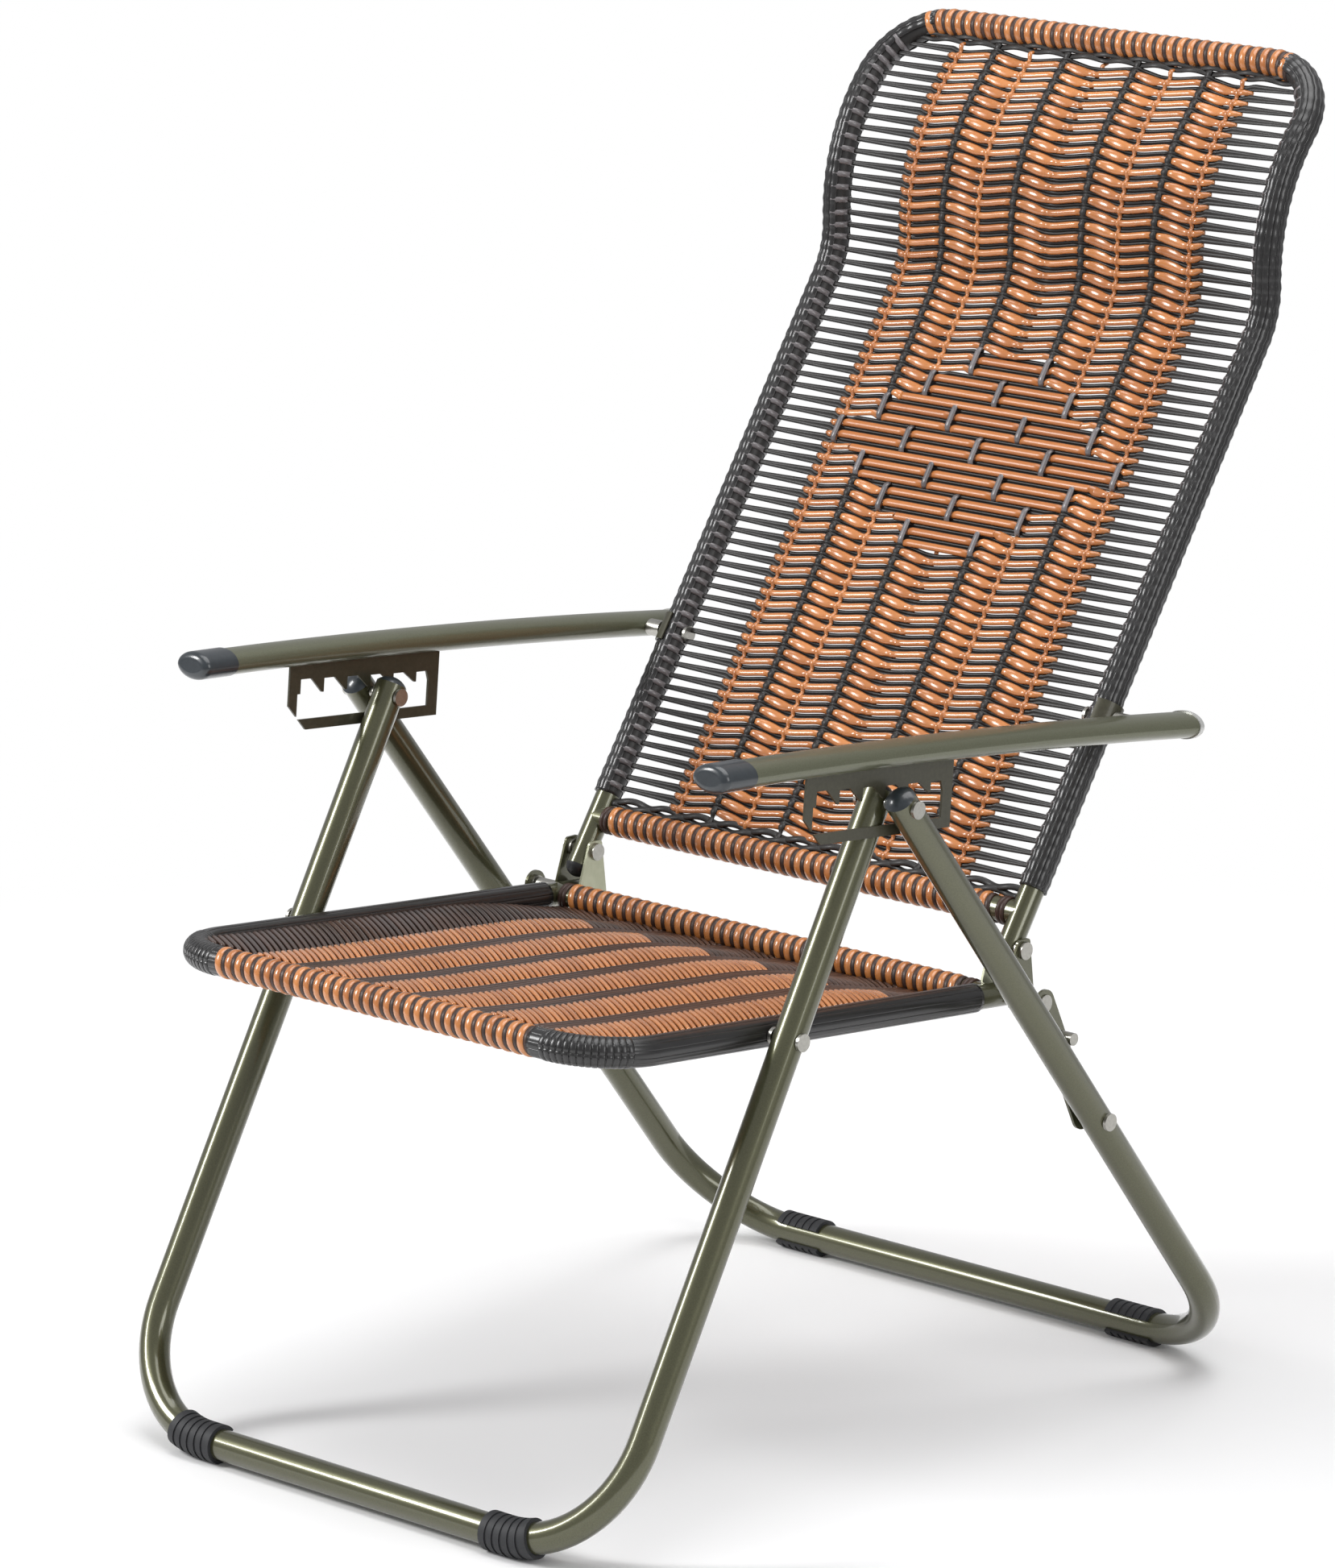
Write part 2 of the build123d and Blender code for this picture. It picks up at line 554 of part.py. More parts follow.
save(pair(saddle_rivet), "saddle_rivets")

# Armrests: oval tube bent to a slight arc, front cap, rear plug, ratchet plate below
arm_arc = ThreePointArc(pt(ARM_X, (ARM_FRONT_Y, arm_z(ARM_FRONT_Y))), pt(ARM_X, (0, arm_z(0))),
                        pt(ARM_X, (ARM_REAR_Y, arm_z(ARM_REAR_Y))))
arm_start = Plane(origin=arm_arc @ 0, x_dir=(1, 0, 0), z_dir=arm_arc % 0)
arm_end = Plane(origin=arm_arc @ 1, x_dir=(1, 0, 0), z_dir=arm_arc % 1)
arm_solid = sweep(arm_start * Ellipse(ARM_HALF_W, ARM_HALF_H), path=arm_arc)
arm_ring = Ellipse(ARM_HALF_W, ARM_HALF_H) - Ellipse(ARM_HALF_W - ARM_WALL, ARM_HALF_H - ARM_WALL)
arm_tube = sweep(arm_start * arm_ring, path=arm_arc)
arm_in = ARM_X - ARM_HALF_W
arm_tube -= bar(arm_in - 2, ARM_X, ARM_PIVOT, PIN_R + RUN_CLEAR)
cap_face = Ellipse(ARM_HALF_W + CAP_SKIN, ARM_HALF_H + CAP_SKIN)
arm_cap = extrude(arm_start.offset(-CAP_NOSE) * cap_face, CAP_LENGTH)
arm_cap = fillet(arm_cap.edges().sort_by(Axis.Y)[0], CAP_NOSE - 1)
arm_cap -= arm_solid
arm_plug = extrude(arm_end * cap_face, REAR_PLUG)
arm_plug = fillet(arm_plug.edges().sort_by(Axis.Y)[-1], REAR_PLUG / 2)

# Ratchet window: the pin runs below the teeth and drops into a notch as the arm comes down
arm_frame = Plane(origin=pt(0, TOP_PIVOT), x_dir=(0, cos(radians(ARM_TILT)), -sin(radians(ARM_TILT))),
                  z_dir=(1, 0, 0))
arm_run = ARM_PIVOT[0] / cos(radians(ARM_TILT))
tooth_v = BUSH_R + TOOTH_CLEAR
window = [(WINDOW_FRONT_U, WINDOW_BOTTOM_V), (WINDOW_REAR_U, WINDOW_BOTTOM_V)]
window_top = [(WINDOW_FRONT_U, tooth_v)]
for k in range(NOTCH_FIRST, NOTCH_LAST + 1):
    u = NOTCH_PITCH * k
    notch_v = BUSH_R + NOTCH_ROOM + LATCH_DROP * (arm_run - u) / arm_run
    half = BUSH_R + NOTCH_ROOM
    if k > NOTCH_FIRST:
        window_top.append((u - half - NOTCH_SWING, tooth_v))
    else:
        window_top[0] = (u - half - NOTCH_SWING, tooth_v)
    window_top += [(u - half - NOTCH_SWING, notch_v), (u + half, notch_v), (u + half + NOTCH_SLOPE, tooth_v)]
window_top.insert(0, (WINDOW_FRONT_U, tooth_v))
window_top.append((WINDOW_REAR_U, tooth_v))
window_top = [p for p in window_top if WINDOW_FRONT_U <= p[0] <= WINDOW_REAR_U]
outline = Polyline((PLATE_FRONT_U, PLATE_TOP_V), (PLATE_FRONT_U, PLATE_BOTTOM_V + PLATE_BEVEL),
                   (PLATE_FRONT_U + PLATE_BEVEL, PLATE_BOTTOM_V), (PLATE_REAR_U, PLATE_BOTTOM_V),
                   (PLATE_REAR_U, PLATE_TOP_V), close=True)
ratchet_face = make_face(outline) - make_face(Polyline(*(window + window_top[::-1]), close=True))
ratchet = extrude(arm_frame.offset(LAYER_X - PLATE_T / 2) * ratchet_face, PLATE_T) - arm_solid
ratchet = largest(ratchet)

for side, turn in (("right", False), ("left", True)):
    pieces = (("arm_tube", arm_tube), ("arm_front_cap", arm_cap), ("arm_rear_plug", arm_plug),
              ("ratchet_plate", ratchet))
    for name, piece in pieces:
        save(mirror(piece, about=Plane.YZ) if turn else piece, name + "_" + side)

# Arm pivot bolts end just short of the saddles: the pivot is opened here
bolt_in = saddle_face + FACE_CLEAR + 0.3
bolt_collar = arm_in - FACE_CLEAR
arm_bolt = bar(bolt_in, arm_in + ARM_WALL + BOLT_HEAD_IN + HEAD_T, ARM_PIVOT, PIN_R)
arm_bolt += bar(bolt_in, bolt_collar, ARM_PIVOT, HEAD_R)
bolt_head = arm_in + ARM_WALL + BOLT_HEAD_IN
arm_bolt += bar(bolt_head, bolt_head + HEAD_T, ARM_PIVOT, BOLT_HEAD_R)
save(pair(arm_bolt), "arm_pivot_bolts")

# Top pivot pins, fast in the rear legs and running in the front ones, each with a bush in the ratchet window
rear_in = REAR_LEG_X - LEG_R
rear_out = REAR_LEG_X + LEG_R
top_pin = bar(leg_in - FACE_CLEAR - HEAD_T, rear_out + HEAD_T, TOP_PIVOT, TOP_PIN_R)
top_pin += bar(leg_in - FACE_CLEAR - HEAD_T, leg_in - FACE_CLEAR, TOP_PIVOT, TOP_HEAD_R)
top_pin += bar(rear_out, rear_out + HEAD_T, TOP_PIVOT, TOP_HEAD_R)
save(pair(top_pin), "top_pivot_pins")
bush = bar(leg_out + FACE_CLEAR, rear_in - FACE_CLEAR, TOP_PIVOT, BUSH_R, TOP_PIN_R + RUN_CLEAR)
save(pair(bush), "slot_bushes")

# Links between seat and rear legs, with a stud that stops on the back of the leg
rise_y = LINK_PIVOT[0] - LINK_FOOT[0]
rise_z = LINK_PIVOT[1] - LINK_FOOT[1]
link_length = sqrt(rise_y ** 2 + rise_z ** 2)
link_turn = degrees(atan2(rise_z, rise_y))
link_mid = ((LINK_PIVOT[0] + LINK_FOOT[0]) / 2, (LINK_PIVOT[1] + LINK_FOOT[1]) / 2)
link_face = Pos(*link_mid) * Rot(0, 0, link_turn) * SlotCenterToCenter(link_length, 2 * LINK_HALF_W)
link_face -= Pos(*LINK_PIVOT) * Circle(PIN_R)
link_face -= Pos(*LINK_FOOT) * Circle(PIN_R + RUN_CLEAR)
leg_turn = degrees(atan2(LEG_DROP, -REAR_FOOT_Y))
stop_run = (LEG_R + STOP_R + STOP_GAP) / sin(radians(leg_turn - link_turn))
STOP = (LINK_FOOT[0] + stop_run * cos(radians(link_turn)), LINK_FOOT[1] + stop_run * sin(radians(link_turn)))
link_face -= Pos(*STOP) * Circle(STOP_R - 1.5)
save(pair(plate(link_x, LINK_T, link_face)), "link_plates")
link_out = link_x + LINK_T
upper_rivet = bar(link_rivet_in, link_out + HEAD_T / 2, LINK_PIVOT, PIN_R)
upper_rivet += bar(link_rivet_in, link_x, LINK_PIVOT, HEAD_R)
upper_rivet += bar(link_out, link_out + HEAD_T / 2, LINK_PIVOT, HEAD_R)
save(pair(upper_rivet), "link_upper_rivets")
stud = bar(link_x, REAR_LEG_X + STOP_R, STOP, STOP_R - 1.5) + bar(link_out, REAR_LEG_X + STOP_R, STOP, STOP_R)
save(pair(stud), "link_stops")
lower_rivet = bar(link_x - FACE_CLEAR - HEAD_T, rear_out + HEAD_T, LINK_FOOT, PIN_R)
lower_rivet += bar(link_x - FACE_CLEAR - HEAD_T, link_x - FACE_CLEAR, LINK_FOOT, HEAD_R)
lower_rivet += bar(rear_out, rear_out + HEAD_T, LINK_FOOT, HEAD_R)
save(pair(lower_rivet), "link_lower_rivets")

for label, place in (("top pivot", TOP_PIVOT), ("seat pivot", SEAT_PIVOT), ("link pivot", LINK_PIVOT),
                     ("link foot", LINK_FOOT), ("hinge", HINGE), ("arm pivot", ARM_PIVOT), ("stop", STOP)):
    print(label, "y", round(place[0] - Y_MID, 4), "z", round(place[1], 4))
print("Y_MID", round(Y_MID, 4), "arm tilt", round(ARM_TILT, 4))
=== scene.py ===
"""Looks of the folding recliner: woven strands, wound rails, finishes, studio and camera."""

import math

import bpy
import numpy as np
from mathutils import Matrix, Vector


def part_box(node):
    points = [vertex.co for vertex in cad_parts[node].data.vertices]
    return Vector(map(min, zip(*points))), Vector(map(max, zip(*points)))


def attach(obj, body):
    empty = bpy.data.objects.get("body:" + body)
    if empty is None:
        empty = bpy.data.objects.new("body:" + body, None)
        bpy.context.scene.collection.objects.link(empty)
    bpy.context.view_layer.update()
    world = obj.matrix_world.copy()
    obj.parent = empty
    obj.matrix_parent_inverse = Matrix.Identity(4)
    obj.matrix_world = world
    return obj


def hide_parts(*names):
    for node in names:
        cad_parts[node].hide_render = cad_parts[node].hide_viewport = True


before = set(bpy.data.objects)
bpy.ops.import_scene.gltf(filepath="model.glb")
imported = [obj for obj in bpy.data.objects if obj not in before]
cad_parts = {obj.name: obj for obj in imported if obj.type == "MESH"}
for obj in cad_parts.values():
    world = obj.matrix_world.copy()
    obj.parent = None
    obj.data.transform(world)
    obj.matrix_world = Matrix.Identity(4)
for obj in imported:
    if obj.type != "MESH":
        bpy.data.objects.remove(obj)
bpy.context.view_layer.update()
MM = 0.001


def centre(node):
    """Middle of a CAD node's box, in millimetres."""
    low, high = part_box(node)
    return np.array((low + high) / 2) / MM


def reach(node, axis):
    """Half of a CAD node's length along one axis, in millimetres."""
    low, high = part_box(node)
    return (high - low)[axis] / 2 / MM


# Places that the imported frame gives, in millimetres
LOWER_RAIL = centre("back_lower_rail")
SEAT_FRONT = centre("seat_front_wrap")
SEAT_REAR = centre("seat_rear_wrap")
WRAP_R = reach("back_top_wrap", 2)
SEAT_WRAP_R = reach("seat_rear_wrap", 2)

# Driving sizes of the frame that the strands follow, in millimetres and degrees
TUBE_R = 10.0
BACK_X = reach("back_frame", 0) - TUBE_R
BACK_LEAN = 33.87
STRAIGHT_RUN = 500.5
BEND1_R, BEND1_LEAN = 74.8, -0.76
BEND_RUN = 6.4
BEND2_R, BEND2_LEAN = 165.4, 41.55
TOP_BEND_R = 58.5
STILE_WRAP_S = 21.0
SEAT_X = reach("seat_frame", 0) - TUBE_R
SEAT_BEND_R = 55.0
SEAT_SIDE_R = 11.6

BEND1_RUN = BEND1_R * math.radians(BACK_LEAN - BEND1_LEAN)
BEND2_RUN = BEND2_R * math.radians(BEND2_LEAN - BEND1_LEAN)
S_TOP = STRAIGHT_RUN + BEND1_RUN + BEND_RUN + BEND2_RUN + TOP_BEND_R
CORNER = S_TOP - TOP_BEND_R
STILE_END = CORNER + TOP_BEND_R * math.pi / 2

# Side profile of the back: lean and place at each length up from the lower rail, and a little beyond both ends
PROFILE_STEP = 0.5
PROFILE_BELOW, PROFILE_ABOVE = 60.0, 40.0
PROFILE_S = np.arange(-PROFILE_BELOW, S_TOP + PROFILE_ABOVE, PROFILE_STEP)
PROFILE_LEAN = np.radians(np.interp(
    PROFILE_S,
    [STRAIGHT_RUN, STRAIGHT_RUN + BEND1_RUN, STRAIGHT_RUN + BEND1_RUN + BEND_RUN, CORNER],
    [BACK_LEAN, BEND1_LEAN, BEND1_LEAN, BEND2_LEAN],
))
PROFILE_Y = np.cumsum(np.sin(PROFILE_LEAN)) * PROFILE_STEP
PROFILE_Z = np.cumsum(np.cos(PROFILE_LEAN)) * PROFILE_STEP
PROFILE_Y += LOWER_RAIL[1] - np.interp(0.0, PROFILE_S, PROFILE_Y)
PROFILE_Z += LOWER_RAIL[2] - np.interp(0.0, PROFILE_S, PROFILE_Z)


def back_point(x, s, lift):
    """Points and front normals on the back, s up from the lower rail, lift towards the sitter."""
    x, s, lift = np.broadcast_arrays(np.asarray(x, float), s, lift)
    lean = np.interp(s, PROFILE_S, PROFILE_LEAN)
    normal = np.stack([np.zeros_like(lean), -np.cos(lean), np.sin(lean)], -1)
    middle = np.stack([x, np.interp(s, PROFILE_S, PROFILE_Y), np.interp(s, PROFILE_S, PROFILE_Z)], -1)
    return middle + normal * lift[..., None], normal


# Seat surface: height of the strands' tops at each length back from the front rail
SEAT_CURVE = [(0, 11.0), (30, 9.5), (80, 8.0), (300, 7.5), (340, 5.0), (377, 0.0), (405, -4.5), (440, -7.0)]
SEAT_SMOOTHING = np.linspace(-12, 12, 9)
SLOPE_REACH = 0.5
SEAT_ALONG = SEAT_REAR - SEAT_FRONT
SEAT_DEPTH = float(np.linalg.norm(SEAT_ALONG))
SEAT_ALONG = SEAT_ALONG / SEAT_DEPTH
SEAT_UP = np.array([0.0, -SEAT_ALONG[2], SEAT_ALONG[1]])
SEAT_BASE = SEAT_FRONT * np.array([0.0, 1.0, 1.0])


def seat_height(u):
    """Top of the seat's strands above the line between its rails."""
    near = np.asarray(u, float)[..., None] + SEAT_SMOOTHING
    return np.interp(near, *zip(*SEAT_CURVE)).mean(-1)


def seat_point(x, u, lift):
    """Points and upward normals on the seat, u back from the front rail, lift above the strands' tops."""
    x, u, lift = np.broadcast_arrays(np.asarray(x, float), u, lift)
    rise = seat_height(u + SLOPE_REACH) - seat_height(u - SLOPE_REACH)
    normal = SEAT_UP - (rise / (2 * SLOPE_REACH))[..., None] * SEAT_ALONG
    normal = normal / np.linalg.norm(normal, axis=-1, keepdims=True)
    across = np.zeros(x.shape + (3,))
    across[..., 0] = x
    middle = SEAT_BASE + across + u[..., None] * SEAT_ALONG + seat_height(u)[..., None] * SEAT_UP
    return middle + normal * lift[..., None], normal


class Strands:
    """Collects swept oval strands into one mesh."""

    def __init__(self, seed, sides=8):
        self.sides = sides
        self.points, self.faces, self.tints, self.count = [], [], [], 0
        self.draw = np.random.default_rng(seed)

    def add(self, points, normals, width, thick):
        """Sweeps one strand along the points, its flat side facing along the normals."""
        points = np.asarray(points, float)
        n = len(points)
        along = np.gradient(points, axis=0)
        along /= np.linalg.norm(along, axis=1, keepdims=True)
        side = np.cross(along, normals)
        side /= np.linalg.norm(side, axis=1, keepdims=True)
        up = np.cross(side, along)
        half_w = np.broadcast_to(np.asarray(width, float) / 2, n)
        half_t = np.broadcast_to(np.asarray(thick, float) / 2, n)
        turn = np.arange(self.sides) * 2 * math.pi / self.sides
        ring = side[:, None] * (half_w[:, None] * np.cos(turn))[..., None]
        ring = ring + up[:, None] * (half_t[:, None] * np.sin(turn))[..., None]
        self.points.append((points[:, None] + ring).reshape(-1, 3))
        grid = self.count + np.arange(n * self.sides).reshape(n, self.sides)
        a, b = grid[:-1], grid[1:]
        quads = np.stack([a, np.roll(a, -1, 1), np.roll(b, -1, 1), b], -1).reshape(-1, 4)
        self.faces += quads.tolist()
        self.faces += [grid[0][::-1].tolist(), grid[-1].tolist()]
        self.tints.append(np.full(n * self.sides, self.draw.random()))
        self.count += n * self.sides

    def piece(self, name, material, body, slot, *nodes):
        """Makes the strands one object that rides on a body in place of its CAD nodes."""
        mesh = bpy.data.meshes.new(name)
        mesh.from_pydata((np.concatenate(self.points) * MM).tolist(), [], self.faces)
        mesh.polygons.foreach_set("use_smooth", np.ones(len(mesh.polygons), bool))
        tint = mesh.attributes.new("tint", "FLOAT", "POINT")
        tint.data.foreach_set("value", np.concatenate(self.tints).astype(np.float32))
        mesh.materials.append(material)
        mesh.update()
        made = bpy.data.objects.new(name, mesh)
        bpy.context.scene.collection.objects.link(made)
        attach(made, body)
        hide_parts(*nodes)


# Materials: noise scales are per metre, bump distances in metres
NOISE_DETAIL = 4.0
STRAND_COAT_ROUGH = 0.2
STRAND_GRAIN, STRAND_PORES = 90.0, 700.0
STRAND_BUMP, STRAND_BUMP_DEEP = 0.12, 0.0004
TINT_SHARE = 0.55
SMEARS = 30.0
FINISH_BUMP_DEEP = 0.0003


def shader(name, colour, rough, metallic=0.0, coat=0.0, coat_rough=0.1, specular=0.5):
    """A new material and its shader node."""
    made = bpy.data.materials.new(name)
    made.use_nodes = True
    node = made.node_tree.nodes["Principled BSDF"]
    node.inputs["Base Color"].default_value = (*colour, 1.0)
    node.inputs["Roughness"].default_value = rough
    node.inputs["Metallic"].default_value = metallic
    node.inputs["Coat Weight"].default_value = coat
    node.inputs["Coat Roughness"].default_value = coat_rough
    node.inputs["Specular IOR Level"].default_value = specular
    return made, node


def noise(material, scale):
    """A noise on object coordinates; gives its value socket."""
    nodes, links = material.node_tree.nodes, material.node_tree.links
    place = nodes.new("ShaderNodeTexCoord")
    field = nodes.new("ShaderNodeTexNoise")
    field.inputs["Scale"].default_value = scale
    field.inputs["Detail"].default_value = NOISE_DETAIL
    links.new(place.outputs["Object"], field.inputs["Vector"])
    return field.outputs["Fac"]


def spread(material, value, low, high):
    """Stretches a 0 to 1 value between two others."""
    node = material.node_tree.nodes.new("ShaderNodeMapRange")
    node.inputs["To Min"].default_value = low
    node.inputs["To Max"].default_value = high
    material.node_tree.links.new(value, node.inputs["Value"])
    return node.outputs["Result"]


def vary_colour(material, node, value, dark, light):
    """Drives the shader's colour from dark to light."""
    mix = material.node_tree.nodes.new("ShaderNodeMix")
    mix.data_type = "RGBA"
    mix.inputs["A"].default_value = (*dark, 1.0)
    mix.inputs["B"].default_value = (*light, 1.0)
    material.node_tree.links.new(value, mix.inputs["Factor"])
    material.node_tree.links.new(mix.outputs["Result"], node.inputs["Base Color"])


def bump(material, node, value, strength, distance):
    """Gives the shader a fine relief."""
    made = material.node_tree.nodes.new("ShaderNodeBump")
    made.inputs["Strength"].default_value = strength
    made.inputs["Distance"].default_value = distance
    material.node_tree.links.new(value, made.inputs["Height"])
    material.node_tree.links.new(made.outputs["Normal"], node.inputs["Normal"])


def strand_material(name, dark, light, rough, coat=0.5):
    """Plastic strand whose shade changes from strand to strand and along each."""
    made, node = shader(name, light, rough, coat=coat, coat_rough=STRAND_COAT_ROUGH)
    tint = made.node_tree.nodes.new("ShaderNodeAttribute")
    tint.attribute_name = "tint"
    grain = noise(made, STRAND_GRAIN)
    total = made.node_tree.nodes.new("ShaderNodeMath")
    total.operation = "MULTIPLY_ADD"
    total.inputs[1].default_value = TINT_SHARE
    made.node_tree.links.new(tint.outputs["Fac"], total.inputs[0])
    made.node_tree.links.new(spread(made, grain, 0.0, 1 - TINT_SHARE), total.inputs[2])
    vary_colour(made, node, total.outputs[0], dark, light)
    made.node_tree.links.new(spread(made, grain, rough - 0.06, rough + 0.1), node.inputs["Roughness"])
    bump(made, node, noise(made, STRAND_PORES), STRAND_BUMP, STRAND_BUMP_DEEP)
    return made


def finish(name, dark, light, rough, metallic, coat=0.0, grain=240.0, depth=0.1):
    """Metal, paint or moulding with a fine grain and smeared gloss."""
    made, node = shader(name, light, rough, metallic, coat)
    flakes = noise(made, grain)
    vary_colour(made, node, flakes, dark, light)
    gloss = spread(made, noise(made, SMEARS), rough - 0.05, rough + 0.08)
    made.node_tree.links.new(gloss, node.inputs["Roughness"])
    bump(made, node, flakes, depth, FINISH_BUMP_DEEP)
    return made


# Strands: name, darkest and lightest colour, roughness, coat
ORANGE = strand_material("orange_strand", (0.37, 0.114, 0.022), (0.65, 0.248, 0.068), 0.26, 0.9)
# Darker copy of the orange strand for the diamond's floats, which are the same rows: painted shade
SHADED_ORANGE = strand_material("orange_strand_painted_shade", (0.34, 0.098, 0.018), (0.52, 0.185, 0.044), 0.36, 0.3)
BLACK = strand_material("dark_strand", (0.006, 0.0050, 0.0045), (0.014, 0.012, 0.011), 0.50, 0.08)
GLOSS = strand_material("glossy_dark_strand", (0.006, 0.0055, 0.0055), (0.016, 0.015, 0.015), 0.32, 0.35)
# Grey is the diamond bars' own colour, and on the stile loops a lighter copy of the dark cross strands: painted
# light where they catch the light
GREY_AND_PAINTED_LIGHT = strand_material("grey_strand_and_painted_light", (0.085, 0.077, 0.080), (0.180, 0.165, 0.170), 0.36)
BROWN = strand_material("brown_strand", (0.020, 0.009, 0.006), (0.075, 0.034, 0.020), 0.36, 0.3)
DEEP = strand_material("deep_brown_strand", (0.016, 0.006, 0.003), (0.050, 0.017, 0.008), 0.50, 0.12)

# Finishes of the CAD pieces: name, darkest and lightest colour, roughness, metal, then coat, grain and depth
TUBE = finish("olive_tube", (0.060, 0.060, 0.028), (0.112, 0.112, 0.056), 0.30, 0.6, 1.0, 900.0, 0.02)
# Lighter copy of the olive tube for the arms: painted light on their tops, with a satin coat of its own
ARM_PAINTED_LIGHT = finish("satin_olive_tube_painted_light", (0.090, 0.094, 0.054), (0.152, 0.158, 0.100), 0.36, 0.5, 0.5, 900.0, 0.02)
# Darker copy of the olive tube for the ratchet plates and saddles under the arms: painted shade, with a duller
# finish of its own
DULL_OLIVE_PAINTED_SHADE = finish("dull_olive_plate_painted_shade", (0.034, 0.032, 0.018), (0.066, 0.062, 0.038), 0.42, 0.3, 0.2, 300.0)
PLASTIC = finish("dark_plastic", (0.014, 0.019, 0.023), (0.028, 0.036, 0.043), 0.30, 0.0, 0.4, depth=0.06)
RUBBER = finish("foot_rubber", (0.014, 0.015, 0.017), (0.030, 0.031, 0.034), 0.6, 0.0, depth=0.2)
BRIGHT = finish("rivet_steel", (0.34, 0.33, 0.30), (0.52, 0.51, 0.47), 0.32, 1.0, grain=400.0)
PLATED = finish("galvanised", (0.36, 0.37, 0.26), (0.52, 0.53, 0.40), 0.36, 0.8, grain=120.0)
PLUG = finish("black_plug", (0.008, 0.008, 0.009), (0.016, 0.016, 0.018), 0.45, 0.0)
SILVER = finish("bright_plug", (0.52, 0.52, 0.50), (0.68, 0.68, 0.66), 0.3, 0.6)

# Pins, rivets, washers and bushes that aren't listed are bright steel
FINISHES = {
    TUBE: ["front_leg_frame", "rear_leg_frame", "seat_frame", "seat_rear_rail", "back_frame", "back_lower_rail",
           "link_plates", "hinge_outer_plates"],
    # The arms get the lighter olive: painted light
    ARM_PAINTED_LIGHT: ["arm_tube_left", "arm_tube_right"],
    # The plates and saddles under the arms get the darker olive: painted shade
    DULL_OLIVE_PAINTED_SHADE: ["ratchet_plate_left", "ratchet_plate_right", "arm_saddles"],
    PLASTIC: ["front_leg_plugs", "rear_leg_plugs", "arm_front_cap_left", "arm_front_cap_right", "seat_end_plugs"],
    PLUG: ["back_stile_plugs"],
    RUBBER: ["front_foot_sleeves", "rear_foot_sleeves"],
    PLATED: ["hinge_inner_plates"],
    SILVER: ["arm_rear_plug_left", "arm_rear_plug_right"],
}
chosen = {node: material for material, nodes in FINISHES.items() for node in nodes}
for name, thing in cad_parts.items():
    thing.data.materials.clear()
    thing.data.materials.append(chosen.get(name, BRIGHT))


# Back weave: orange rows over upright lines, dark cross strands between the rows, and a diamond of long floats
ROW = 10.3
FIRST_ROW_S = 24.0
CELL = 37.0
ORANGE_LINES = [0.0, 2 * CELL, -2 * CELL, 4 * CELL, -4 * CELL]
DARK_LINES = [CELL, -CELL, 3 * CELL, -3 * CELL]
FIELD_X = 160.0
FIELD_FADE = 7.0
ZIGZAG = 2.2
ROWS = int((S_TOP - 2 * FIRST_ROW_S) / ROW) + 1
row_s = FIRST_ROW_S + ROW * np.arange(ROWS)

# The diamond, in steps of bars either way from its middle
DIAMOND_S = 368.5
DIAMOND_STEPS = 3
DIAMOND_STEP = 25.75
DIAMOND_X = 4 * CELL
DIAMOND_FADE = 8.0
BAR_TALL, BAR_WIDE, BAR_T = 21.0, 5.6, 2.2
BAR_LIFT, BAR_DROP = 2.4, 3.4
BAR_OVERRUN, BAR_TUCK = 2.0, 3.0
BAR_POINTS = 15

# Orange rows, which tuck behind the upright lines and the bars, and sink in every other cell
WEFT_STEP = 2.0
WEFT_T = 3.8
WEFT_WIDE, WEFT_SWELL, FLOAT_WIDE = 5.6, 2.9, 6.5
WEFT_LIFT, WEFT_DIP = 1.2, 2.4
WEFT_END_SHARE, WEFT_END_DROP = 0.75, 4.2
WEFT_OVERLAP = 2.0
DARK_TUCK, DARK_TUCK_HALF = 3.4, 7.0
ORANGE_TUCK, ORANGE_TUCK_HALF = 1.4, 5.0
BAR_TUCK_HALF = 8.0
DIP_FROM, DIP_TO, DIP_FADE = 1.05, 1.97, 0.4

# Upright strands
WARP_END = 6.0
WARP_STEP = 1.7
WARP_T = 2.4
WARP_EDGE = 6.0
WARP_SMOOTHING = 4

# Dark cross strands, in pairs that fan together from the field's edge to the stile
CROSS_POINTS = 181
CROSS_T = 2.4
CROSS_WIDE, CROSS_APART = 3.2, 1.5
FAN_WIDE, FAN_NARROWING = 4.0, 0.7
FAN_APART, FAN_CLOSING = 2.0, 1.6
CROSS_SMOOTHING = 3
CROSS_LIFT, KNOT_RISE, FAN_RISE, CROSS_DIP = -2.0, 3.1, 1.7, 1.6
KNOT_HALF = 6.0
STILE_BITE = 0.8 * WRAP_R
CORNER_SHARE = 0.98

# Twisted lashing beside the lower and top rails: place, phase and sway of each strand
LASHINGS = [(13.5, 0.0, 1.4), (18.0, math.pi, 1.4), (S_TOP - 12.5, 0.0, 0.5), (S_TOP - 16.5, math.pi, 0.5)]
LASHING_WIDE, LASHING_T = 5.6, 3.0
LASHING_LIFT, LASHING_TWIST = 0.8, 1.6
LASHING_POINTS = 160


def ease(value):
    """0 to 1 with soft ends."""
    value = np.clip(value, 0, 1)
    return value * value * (3 - 2 * value)


def smooth(values, reach):
    """Running mean over a number of neighbours to each side."""
    count = 2 * reach + 1
    return np.convolve(np.pad(values, reach, "edge"), np.ones(count) / count, "valid")


def bump_at(x, places, wide):
    """1 at each of the places, fading to 0 at wide from it."""
    x = np.asarray(x, float)
    total = np.zeros_like(x)
    for place in places:
        total = np.maximum(total, ease(1 - np.abs(x - place) / wide))
    return total


